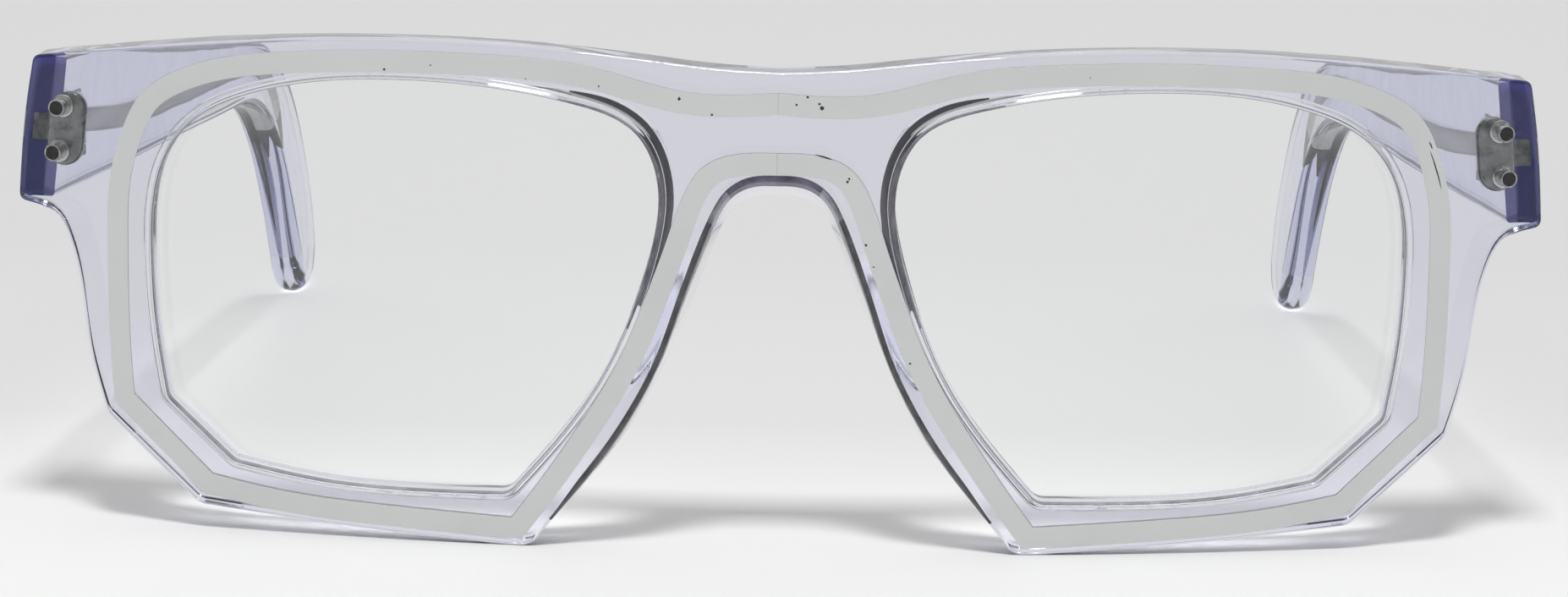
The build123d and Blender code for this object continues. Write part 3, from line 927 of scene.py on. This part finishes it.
templeRuns = [onTemple(temple["top"]), onTemple(temple["tip"], 60), onTemple(temple["inside"])]
templeRuns.append(thinned(np.array([templeRuns[2][-1], templeRuns[0][0]]), 0, 0, 20))
templeLoop = joined(templeRuns, [0, 0, 0, 0], [120, 28, 110, 10])
hook = eased((templeLoop[:, 0] / temple["reach"] - temple["tipFrom"][0]) / temple["tipFrom"][1])
butting = 1 - eased((templeLoop[:, 0] - temple["buttTo"][0]) / temple["buttTo"][1])
templeSwell = 1 + (temple["tipRound"] / temple["edgeRound"] - 1) * hook
templeSwell += (temple["buttRound"] / temple["edgeRound"] - 1) * butting
templeNear, templeFar = roundedEdge(temple["edgeRound"], 7)
fromOrigin = hingeSpot + hingeBack * temple["buttGap"] - templeOrigin
mitreFlat = Vector((fromOrigin.dot(templeBack), -fromOrigin.dot(templeOut), 0))
mitreNormal = Vector((hingeBack.dot(templeBack), -hingeBack.dot(templeOut), 0))
armLoops = [(templeLoop, templeLoop, templeNear + templeFar, 1, templeSwell, ())]
for side, sign in sides:
    piece = buildPlate(f"templeArm_{side}", armLoops, -halfTemple, flatTo(halfTemple), besideTemple(sign),
                       cutOff=(mitreFlat, mitreNormal))
    # the cut butt gets the painted light
    finish(piece, [acetate, butt], f"{side}_temple", "acetate", f"temple_{side}")
    piece.visible_shadow = False  # the arms are too clear and too far from the table to show one
print("temples built")


def stadium(width, height, count=24):
    # an upright slot's outline
    turn = np.linspace(0, math.pi, count)
    arc = np.column_stack([np.cos(turn), np.sin(turn)]) * width / 2
    rise = np.array([0, (height - width) / 2])
    return np.vstack([arc + rise, -arc - rise])


def slab(start, length, height, radius, count=5):
    # the outline of a rectangle with rounded corners, about the hinge's level
    low, high = (start, hinge["level"] - height / 2), (start + length, hinge["level"] + height / 2)
    loop = []
    for turn, x, z in ((0, high[0], high[1]), (1, low[0], high[1]), (2, low[0], low[1]), (3, high[0], low[1])):
        for angle in np.linspace(turn, turn + 1, count) * math.pi / 2:
            inward = (-radius if turn in (0, 3) else radius, -radius if turn < 2 else radius)
            loop.append((x + inward[0] + radius * math.cos(angle), z + inward[1] + radius * math.sin(angle)))
    return np.array(loop)


# Metal plates: the stadium in the endpiece, and the leaf and its foot in the temple
leaf = {
    "slab": (0.5, 6.0, 6.0, 0.6),  # setback, length, height and corners
    "foot": (-2.0, 7.6, 2.6, 0.3),
    "footReach": 3.2,
    "footSink": 0.1,
    "footProud": 0.02,
    "edgeRound": 0.15,
}
plateNear, plateFar = roundedEdge(hinge["plateRound"], 4)
leafNear, leafFar = roundedEdge(leaf["edgeRound"], 3)
plateLoop = [plain(stadium(hinge["plateWidth"], hinge["plateHeight"]), plateNear + plateFar)]
leafLoop, footLoop = ([plain(slab(*leaf[key]), leafNear + leafFar)] for key in ("slab", "foot"))
footCut = (mitreFlat - mitreNormal * leaf["footProud"], mitreNormal)
for side, sign in sides:
    thickness, proud = hinge["plateThickness"], hinge["proud"]
    piece = buildPlate(f"hingePlate_{side}", plateLoop, -thickness, flatTo(proud), onHinge(sign))
    finish(piece, [nickel], "front_frame", "hinge", f"hinge_front_leaf_{side}")
    piece = buildPlate(f"templeLeaf_{side}", leafLoop, halfTemple - thickness, flatTo(halfTemple + proud),
                       besideTemple(sign))
    finish(piece, [nickel], f"{side}_temple", "hinge", f"hinge_temple_leaf_{side}")
    piece = buildPlate(f"templeLeafFoot_{side}", footLoop, halfTemple - leaf["footReach"],
                       flatTo(halfTemple - leaf["footSink"]), besideTemple(sign), cutOff=footCut)
    finish(piece, [nickel], f"{side}_temple", "hinge")
print("hinge plates built")


def startTree(name, sizes):
    tree = bpy.data.node_groups.new(name, "GeometryNodeTree")
    tree.interface.new_socket("Seeds", in_out="INPUT", socket_type="NodeSocketGeometry")
    for label in sizes:
        tree.interface.new_socket(label, in_out="INPUT", socket_type="NodeSocketFloat")
    tree.interface.new_socket("Made", in_out="OUTPUT", socket_type="NodeSocketGeometry")
    return tree, tree.nodes.new("NodeGroupInput").outputs


def geo(tree, kind, feeds=None, **settings):
    return put(tree, f"GeometryNode{kind}", feeds, **settings)


def halfOf(tree, value):
    return sumOf(tree, value, 2.0, "DIVIDE")


def vectorOf(tree, x=0.0, y=0.0, z=0.0):
    return put(tree, "ShaderNodeCombineXYZ", {"X": x, "Y": y, "Z": z})


def shifted(tree, part, **place):
    return geo(tree, "Transform", {"Geometry": part, "Translation": vectorOf(tree, **place)})


def merged(tree, *parts):
    join = tree.nodes.new("GeometryNodeJoinGeometry")
    for part in parts:
        tree.links.new(part, join.inputs[0])
    return join.outputs[0]


def circle(tree, radius, count=36):
    return geo(tree, "CurvePrimitiveCircle", {"Resolution": count, "Radius": radius})


def softSection(tree, width, height, radius):
    # a rectangle with rounded corners, to sweep along a path
    section = geo(tree, "CurvePrimitiveQuadrilateral", {"Width": width, "Height": height})
    feeds = {"Curve": section, "Count": 3, "Radius": radius, "Limit Radius": True}
    return geo(tree, "FilletCurve", feeds, mode="POLY")


def swept(tree, path, section, **extra):
    return geo(tree, "CurveToMesh", {"Curve": path, "Profile Curve": section, **extra})


def inSteps(tree, path, count):
    return geo(tree, "ResampleCurve", {"Curve": path, "Count": count}, mode="COUNT")


def stored(tree, part, name, value, domain):
    feeds = {"Geometry": part, "Name": name, "Value": value}
    return geo(tree, "StoreNamedAttribute", feeds, data_type="FLOAT", domain=domain)


def named(tree, name, kind="FLOAT"):
    return geo(tree, "InputNamedAttribute", {"Name": name}, data_type=kind)


def ringOf(tree, inner, outer, height, rounding):
    # a tube about the upright line: a rounded section swept round a circle
    wall = sumOf(tree, outer, inner, "SUBTRACT")
    middle = halfOf(tree, sumOf(tree, outer, inner))
    return swept(tree, circle(tree, middle), softSection(tree, wall, height, rounding))


def ontoSeeds(tree, seeds, part):
    # copies of a part at the seeds, turned by their aim and toward directions
    aim, toward = (named(tree, name, "FLOAT_VECTOR") for name in ("aim", "toward"))
    aims = {"Primary Axis": aim, "Secondary Axis": toward}
    turn = put(tree, "FunctionNodeAxesToRotation", aims, primary_axis="Z", secondary_axis="X")
    copies = geo(tree, "InstanceOnPoints", {"Points": seeds, "Instance": part, "Rotation": turn})
    return geo(tree, "RealizeInstances", {"Geometry": geo(tree, "SetShadeSmooth", {"Geometry": copies})})


def endTree(tree, result, material, second=None, picked=None):
    # the last nodes set the finish, and a second one where picked is true
    made = geo(tree, "SetMaterial", {"Geometry": result, "Material": material})
    if second:
        made = geo(tree, "SetMaterial", {"Geometry": made, "Selection": picked, "Material": second})
    tree.links.new(made, tree.nodes.new("NodeGroupOutput").inputs["Made"])


def seedMesh(name, seeds):
    # seeds are (place in millimetres, aim, toward)
    mesh = bpy.data.meshes.new(name)
    mesh.from_pydata([Vector(place) * mm for place, _, _ in seeds], [], [])
    for label, column in (("aim", 1), ("toward", 2)):
        values = mesh.attributes.new(label, "FLOAT_VECTOR", "POINT")
        values.data.foreach_set("vector", [number for seed in seeds for number in seed[column]])
    return mesh


def routeMesh(name, spots, edges):
    mesh = bpy.data.meshes.new(name)
    mesh.from_pydata(spots, edges, [])
    return mesh


def grow(name, tree, seeds, sizes, body, slot, *nodes):
    # runs a tree on its seeds and keeps the result as a plain mesh
    piece = bpy.data.objects.new(name, seeds)
    bpy.context.scene.collection.objects.link(piece)
    shaping = piece.modifiers.new("shaping", "NODES")
    shaping.node_group = tree
    for item in tree.interface.items_tree:
        if item.in_out == "INPUT" and item.name in sizes:
            shaping[item.identifier] = sizes[item.name]
    made = bpy.data.meshes.new_from_object(piece.evaluated_get(bpy.context.evaluated_depsgraph_get()))
    piece.modifiers.remove(shaping)
    piece.data = made
    shape = bmesh.new()
    shape.from_mesh(made)
    bmesh.ops.remove_doubles(shape, verts=shape.verts, dist=1e-7)
    bmesh.ops.recalc_face_normals(shape, faces=shape.faces)
    shape.to_mesh(made)
    shape.free()
    settle(piece, body, nodes)
    print(name, len(made.polygons), "faces")


def bothSides(vector):
    return Vector(vector), Vector((-vector[0], vector[1], vector[2]))


# Tubular rivets: a thin tube with a rolled lip, a flange on the plate and a dark plug in its bore, painted
# shade for the hollow's dark
rivet = {
    "Outer": 0.78 * mm,
    "Bore": 0.68 * mm,
    "Length": 2.5 * mm,
    "Lip": 0.85 * mm,
    "Flange": 1.15 * mm,
    "Flange Height": 0.3 * mm,
    "Recess": 0.2 * mm,
}
rivetForm = {"spacing": 4.4, "outset": 0.55, "tubeRound": 0.05, "lipHeight": 0.22, "lipRound": 0.1}
tree, sizes = startTree("rivetTube", rivet)
bore, length, lipRound = sizes["Bore"], sizes["Length"], rivetForm["lipRound"] * mm
tube = ringOf(tree, bore, sizes["Outer"], length, rivetForm["tubeRound"] * mm)
tube = shifted(tree, tube, z=halfOf(tree, length))
lipRing = ringOf(tree, bore, sizes["Lip"], rivetForm["lipHeight"] * mm, lipRound)
lipRing = shifted(tree, lipRing, z=sumOf(tree, length, lipRound, "SUBTRACT"))
flange = ringOf(tree, bore, sizes["Flange"], sizes["Flange Height"], lipRound)
flange = shifted(tree, flange, z=halfOf(tree, sizes["Flange Height"]))
# a dark plug in the bore, painted shade for the hollow's dark
plugLength = sumOf(tree, length, sizes["Recess"], "SUBTRACT")
plug = geo(tree, "MeshCylinder", {"Vertices": 24, "Radius": bore, "Depth": plugLength})
plug = stored(tree, shifted(tree, plug, z=halfOf(tree, plugLength)), "shadedBore", 1.0, "FACE")
rivets = ontoSeeds(tree, sizes["Seeds"], merged(tree, tube, lipRing, flange, plug))
endTree(tree, rivets, brightNickel, boreShade, named(tree, "shadedBore"))
rivetSeeds = []
for end in (-1, 1):
    rise = end * rivetForm["spacing"] / 2
    inward = hinge["shift"] + rise * hinge["lean"] - rivetForm["outset"]
    foot = hingeSpot + hingeIn * inward - hingeBack * hinge["plateThickness"] + Vector((0, 0, rise))
    rivetSeeds += zip(bothSides(foot), bothSides(-hingeBack), bothSides(hingeIn))
rivetNodes = "hinge_rivets_left", "hinge_rivets_right"
grow("rivetTubes", tree, seedMesh("rivetSeeds", rivetSeeds), rivet, "front_frame", "hinge", *rivetNodes)

# Knuckles of both leaves, each a ring with a web to its leaf
knuckle = {
    "Radius": hinge["barrelRadius"] * mm,
    "Bore": hinge["bore"] * mm,
    "Height": hinge["knuckleHeight"] * mm,
    "Web Reach": 1.0 * mm,
    "Web Width": 1.0 * mm,
    "Web Shift": 0.0,
}
tree, sizes = startTree("hingeKnuckle", knuckle)
webStart = sumOf(tree, sizes["Bore"], 0.1 * mm)
webLength = sumOf(tree, sizes["Web Reach"], webStart, "SUBTRACT")
webHeight = sumOf(tree, sizes["Height"], 0.04 * mm, "SUBTRACT")
web = geo(tree, "MeshCube", {"Size": vectorOf(tree, webLength, sizes["Web Width"], webHeight)})
web = shifted(tree, web, x=sumOf(tree, webStart, halfOf(tree, webLength)), y=sizes["Web Shift"])
ring = ringOf(tree, sizes["Bore"], sizes["Radius"], sizes["Height"], hinge["knuckleRound"] * mm)
endTree(tree, ontoSeeds(tree, sizes["Seeds"], merged(tree, ring, web)), nickel)
knucklePitch = hinge["knuckleHeight"] + hinge["knuckleGap"]
barrelHeight = hinge["knuckleCount"] * knucklePitch - hinge["knuckleGap"]
barrelBottom = hinge["level"] - barrelHeight / 2


def knuckleSpot(index):
    up = barrelBottom + index * knucklePitch + hinge["knuckleHeight"] / 2
    return barrelSpot.x, barrelSpot.y, up


skyward = Vector((0, 0, 1))
frontSeeds = []
for index in range(0, hinge["knuckleCount"], 2):
    frontSeeds += zip(bothSides(knuckleSpot(index)), (skyward, skyward), bothSides(-hingeBack))
frontWeb = {
    "Web Reach": (hinge["barrelStand"] + hinge["webSink"]) * mm,
    "Web Width": 2 * hinge["webSide"] * mm,
}
frontSeeds = seedMesh("frontKnuckleSeeds", frontSeeds)
grow("frontKnuckles", tree, frontSeeds, {**knuckle, **frontWeb}, "front_frame", "hinge")
innerGap = -(barrelSpot - templeOrigin).dot(templeOut) - halfTemple
for column, (side, sign) in enumerate(sides):
    toward = bothSides(templeOut)[column]
    spots = [bothSides(knuckleSpot(index))[column] for index in range(1, hinge["knuckleCount"], 2)]
    templeSeeds = seedMesh("templeKnuckleSeeds", [(spot, skyward, toward) for spot in spots])
    templeWeb = {
        "Web Reach": (innerGap + hinge["webSink"]) * mm,
        "Web Width": hinge["webSide"] * mm,
        "Web Shift": sign * hinge["webSide"] / 2 * mm,
    }
    grow(f"templeKnuckles_{side}", tree, templeSeeds, {**knuckle, **templeWeb}, f"{side}_temple", "hinge")

# Hinge screws: a pin and a slotted head with a turned-down edge
screw = {
    "Pin": 0.5 * mm,
    "Length": barrelHeight * mm,
    "Head": 0.85 * mm,
    "Head Height": 0.5 * mm,
    "Slot Width": 0.3 * mm,
    "Slot Depth": 0.25 * mm,
}
headEdge = {"From Min": 0.7, "From Max": 1.0, "To Min": 1.0, "To Max": 0.84}
tree, sizes = startTree("hingeScrew", screw)
pin = geo(tree, "MeshCylinder", {"Vertices": 24, "Radius": sizes["Pin"], "Depth": sizes["Length"]})
pin = shifted(tree, pin, z=halfOf(tree, sizes["Length"]))
stem = geo(tree, "CurvePrimitiveLine", {"End": vectorOf(tree, z=sizes["Head Height"])})
taper = put(tree, "ShaderNodeMapRange", {"Value": geo(tree, "SplineParameter"), **headEdge})
disc = circle(tree, sizes["Head"])
head = swept(tree, inSteps(tree, stem, 8), disc, **{"Scale": taper, "Fill Caps": True})
slotDepth = sumOf(tree, sizes["Slot Depth"], 2.0, "MULTIPLY")
slotSize = vectorOf(tree, sumOf(tree, sizes["Head"], 3.0, "MULTIPLY"), sizes["Slot Width"], slotDepth)
slot = shifted(tree, geo(tree, "MeshCube", {"Size": slotSize}), z=sizes["Head Height"])
head = geo(tree, "MeshBoolean", {"Mesh 1": head, "Mesh 2": slot}, operation="DIFFERENCE")
head = shifted(tree, head, z=sizes["Length"])
flatHead = geo(tree, "SetShadeSmooth", {"Geometry": merged(tree, pin, head), "Shade Smooth": False})
endTree(tree, ontoSeeds(tree, sizes["Seeds"], flatHead), brightNickel)
pinFoot = bothSides((barrelSpot.x, barrelSpot.y, barrelBottom))
screwSeeds = seedMesh("screwSeeds", list(zip(pinFoot, (skyward, skyward), bothSides((0.8, 0.6, 0)))))
screwNodes = "hinge_screw_left", "hinge_screw_right"
grow("hingeScrews", tree, screwSeeds, screw, "front_frame", "screw", *screwNodes)

# Core wires: a flat strip along the temple and down into the hook, sharpened, with painted shade on its end
wire = {
    "Height": 2.4 * mm,
    "Thickness": 1.5 * mm,
    "Edge": 0.35 * mm,
    "Sharpened From": 0.94,
    "Point": 0.12,
}
wirePath = [  # (back, up) in the temple
    (3.2, 38.4), (12, 37.4), (24, 36.0), (38, 35.2), (58, 34.6), (78, 34.0), (87, 33.0), (93, 30.6),
    (97, 27.2), (99.6, 23.8), (101.2, 20.3),
]
tree, sizes = startTree("coreWire", wire)
strip = geo(tree, "SetCurveNormal", {"Curve": geo(tree, "MeshToCurve", {"Mesh": sizes["Seeds"]})}, mode="Z_UP")
travel = geo(tree, "SplineParameter")
strip = stored(tree, inSteps(tree, strip, 140), "reach", travel, "POINT")
section = softSection(tree, sizes["Thickness"], sizes["Height"], sizes["Edge"])
point = {"From Min": sizes["Sharpened From"], "From Max": 1.0, "To Min": 1.0, "To Max": sizes["Point"]}
girth = put(tree, "ShaderNodeMapRange", {"Value": travel, **point})
strip = swept(tree, strip, section, **{"Scale": girth, "Fill Caps": True})
strip = geo(tree, "RealizeInstances", {"Geometry": geo(tree, "SetShadeSmooth", {"Geometry": strip})})
# painted shade on the sharpened end
shadedTip = sumOf(tree, named(tree, "reach"), sizes["Sharpened From"], "GREATER_THAN")
endTree(tree, strip, drawnWire, dirtAndShade, shadedTip)
for side, sign in sides:
    stand = besideTemple(sign)
    route = [stand(Vector((back, 0, up)), skyward)[0] for back, up in smoothRun(wirePath, 80)]
    route = routeMesh("wireRoute", route, [(k, k + 1) for k in range(len(route) - 1)])
    grow(f"coreWire_{side}", tree, route, wire, f"{side}_temple", "core_wire", f"core_wire_{side}")

# Dark threads of dirt in the seams of the inlay, through pixels of the photograph
dirt = {"Width": 0.16 * mm}
dirtSink = 0.04
dirtLines = [
    [(1688, 171), (1695, 190), (1701, 210), (1706, 232)],
    [(964, 183), (975, 186), (986, 190)],
    [(1689, 166), (1692, 172), (1694, 178)],
]
tree, sizes = startTree("seamDirt", dirt)
thread = inSteps(tree, geo(tree, "MeshToCurve", {"Mesh": sizes["Seeds"]}), 24)
middle = sumOf(tree, geo(tree, "SplineParameter"), math.pi, "MULTIPLY")
girth = sumOf(tree, put(tree, "ShaderNodeMath", {0: middle}, operation="SINE"), 0.25)
disc = circle(tree, sumOf(tree, sizes["Width"], 2.5, "DIVIDE"), 8)
thread = swept(tree, thread, disc, **{"Scale": girth, "Fill Caps": True})
endTree(tree, geo(tree, "RealizeInstances", {"Geometry": thread}), dirtAndShade)
spots, steps = [], []
for line in dirtLines:
    steps += [(len(spots) + k, len(spots) + k + 1) for k in range(len(line) - 1)]
    spots += [onFace(pixel) + Vector((0, dirtSink * mm, 0)) for pixel in line]
grow("seamDirt", tree, routeMesh("seamRoutes", spots, steps), dirt, "front_frame", "inlay")
print("hinges, wires and seams built")

for name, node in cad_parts.items():
    if not node.hide_render:
        node.data.materials.clear()
        node.data.materials.append(nickel)
        print("kept as it is:", name)

# Table, light and the room's tones by direction
setting = {
    # painted light and shade on the white table: light near the camera, darkest under and behind the frame,
    # lighter again far back
    "tablePaintedLight": [  # (Y in metres, tone)
        (-0.070, 0.77), (-0.045, 0.745), (-0.030, 0.69), (-0.012, 0.635), (0.100, 0.63), (0.500, 0.80),
    ],
    "tableSize": 6,
    "tableMiddle": 1.5,
    "tableDrop": 0.02,
    "tableRoughness": 0.5,
    "tableShine": 0.2,
    "frontTone": 0.05,
    "backTone": 0.78,
    "backFrom": (0.05, 0.65),
    "topTone": 0.80,
    "topFrom": (0.35, 0.85),
    "keyPower": 6.2,
    "keySize": 0.16,
    "keyPlace": (0.0, -0.355, 0.93),
}
tablePlace = 0, setting["tableMiddle"], -setting["tableDrop"] * mm
bpy.ops.mesh.primitive_plane_add(size=setting["tableSize"], location=tablePlace)
table = bpy.context.object
table.name = "whiteTable"
tableTop, tree, shader = newMaterial("whiteTableTop")
split = splitOf(tree, put(tree, "ShaderNodeNewGeometry", output="Position"))
tableStart, tableEnd = setting["tablePaintedLight"][0][0], setting["tablePaintedLight"][-1][0]
spread = {"Value": split["Y"], "From Min": tableStart, "From Max": tableEnd}
tone = put(tree, "ShaderNodeValToRGB", {"Fac": put(tree, "ShaderNodeMapRange", spread)})
stops = tone.node.color_ramp.elements
stops.remove(stops[1])
for place, grey in setting["tablePaintedLight"]:
    spot = (place - tableStart) / (tableEnd - tableStart)
    stop = stops[0] if spot == 0 else stops.new(spot)
    stop.color = (grey, grey, grey, 1)
gloss = {"Roughness": setting["tableRoughness"], "Specular IOR Level": setting["tableShine"]}
feed(tree, shader, {"Base Color": tone, **gloss})
table.data.materials.append(tableTop)

world = bpy.data.worlds.new("studio")
bpy.context.scene.world = world
world.use_nodes = True
tree = world.node_tree
split = splitOf(tree, put(tree, "ShaderNodeTexCoord", output="Generated"))
behind = rangedTo(tree, split["Y"], *setting["backFrom"], setting["frontTone"], setting["backTone"])
above = rangedTo(tree, split["Z"], *setting["topFrom"])
room = put(tree, "ShaderNodeMix", {"Factor": above, "A": behind, "B": setting["topTone"]}, "Result")
feed(tree, tree.nodes["Background"], {"Color": room})

lampData = bpy.data.lights.new("keyLamp", "AREA")
lampData.size = setting["keySize"]
lampData.energy = setting["keyPower"]
lamp = bpy.data.objects.new("keyLamp", lampData)
bpy.context.scene.collection.objects.link(lamp)
lamp.location = setting["keyPlace"]
aim = Vector((0, front["apexY"] * mm, 0)) - lamp.location
lamp.rotation_euler = aim.to_track_quat("-Z", "Y").to_euler()
bpy.context.scene.view_settings.view_transform = "Standard"
bpy.context.scene.cycles.transmission_bounces = 24
bpy.context.scene.cycles.max_bounces = 32
print("table, light and camera set")
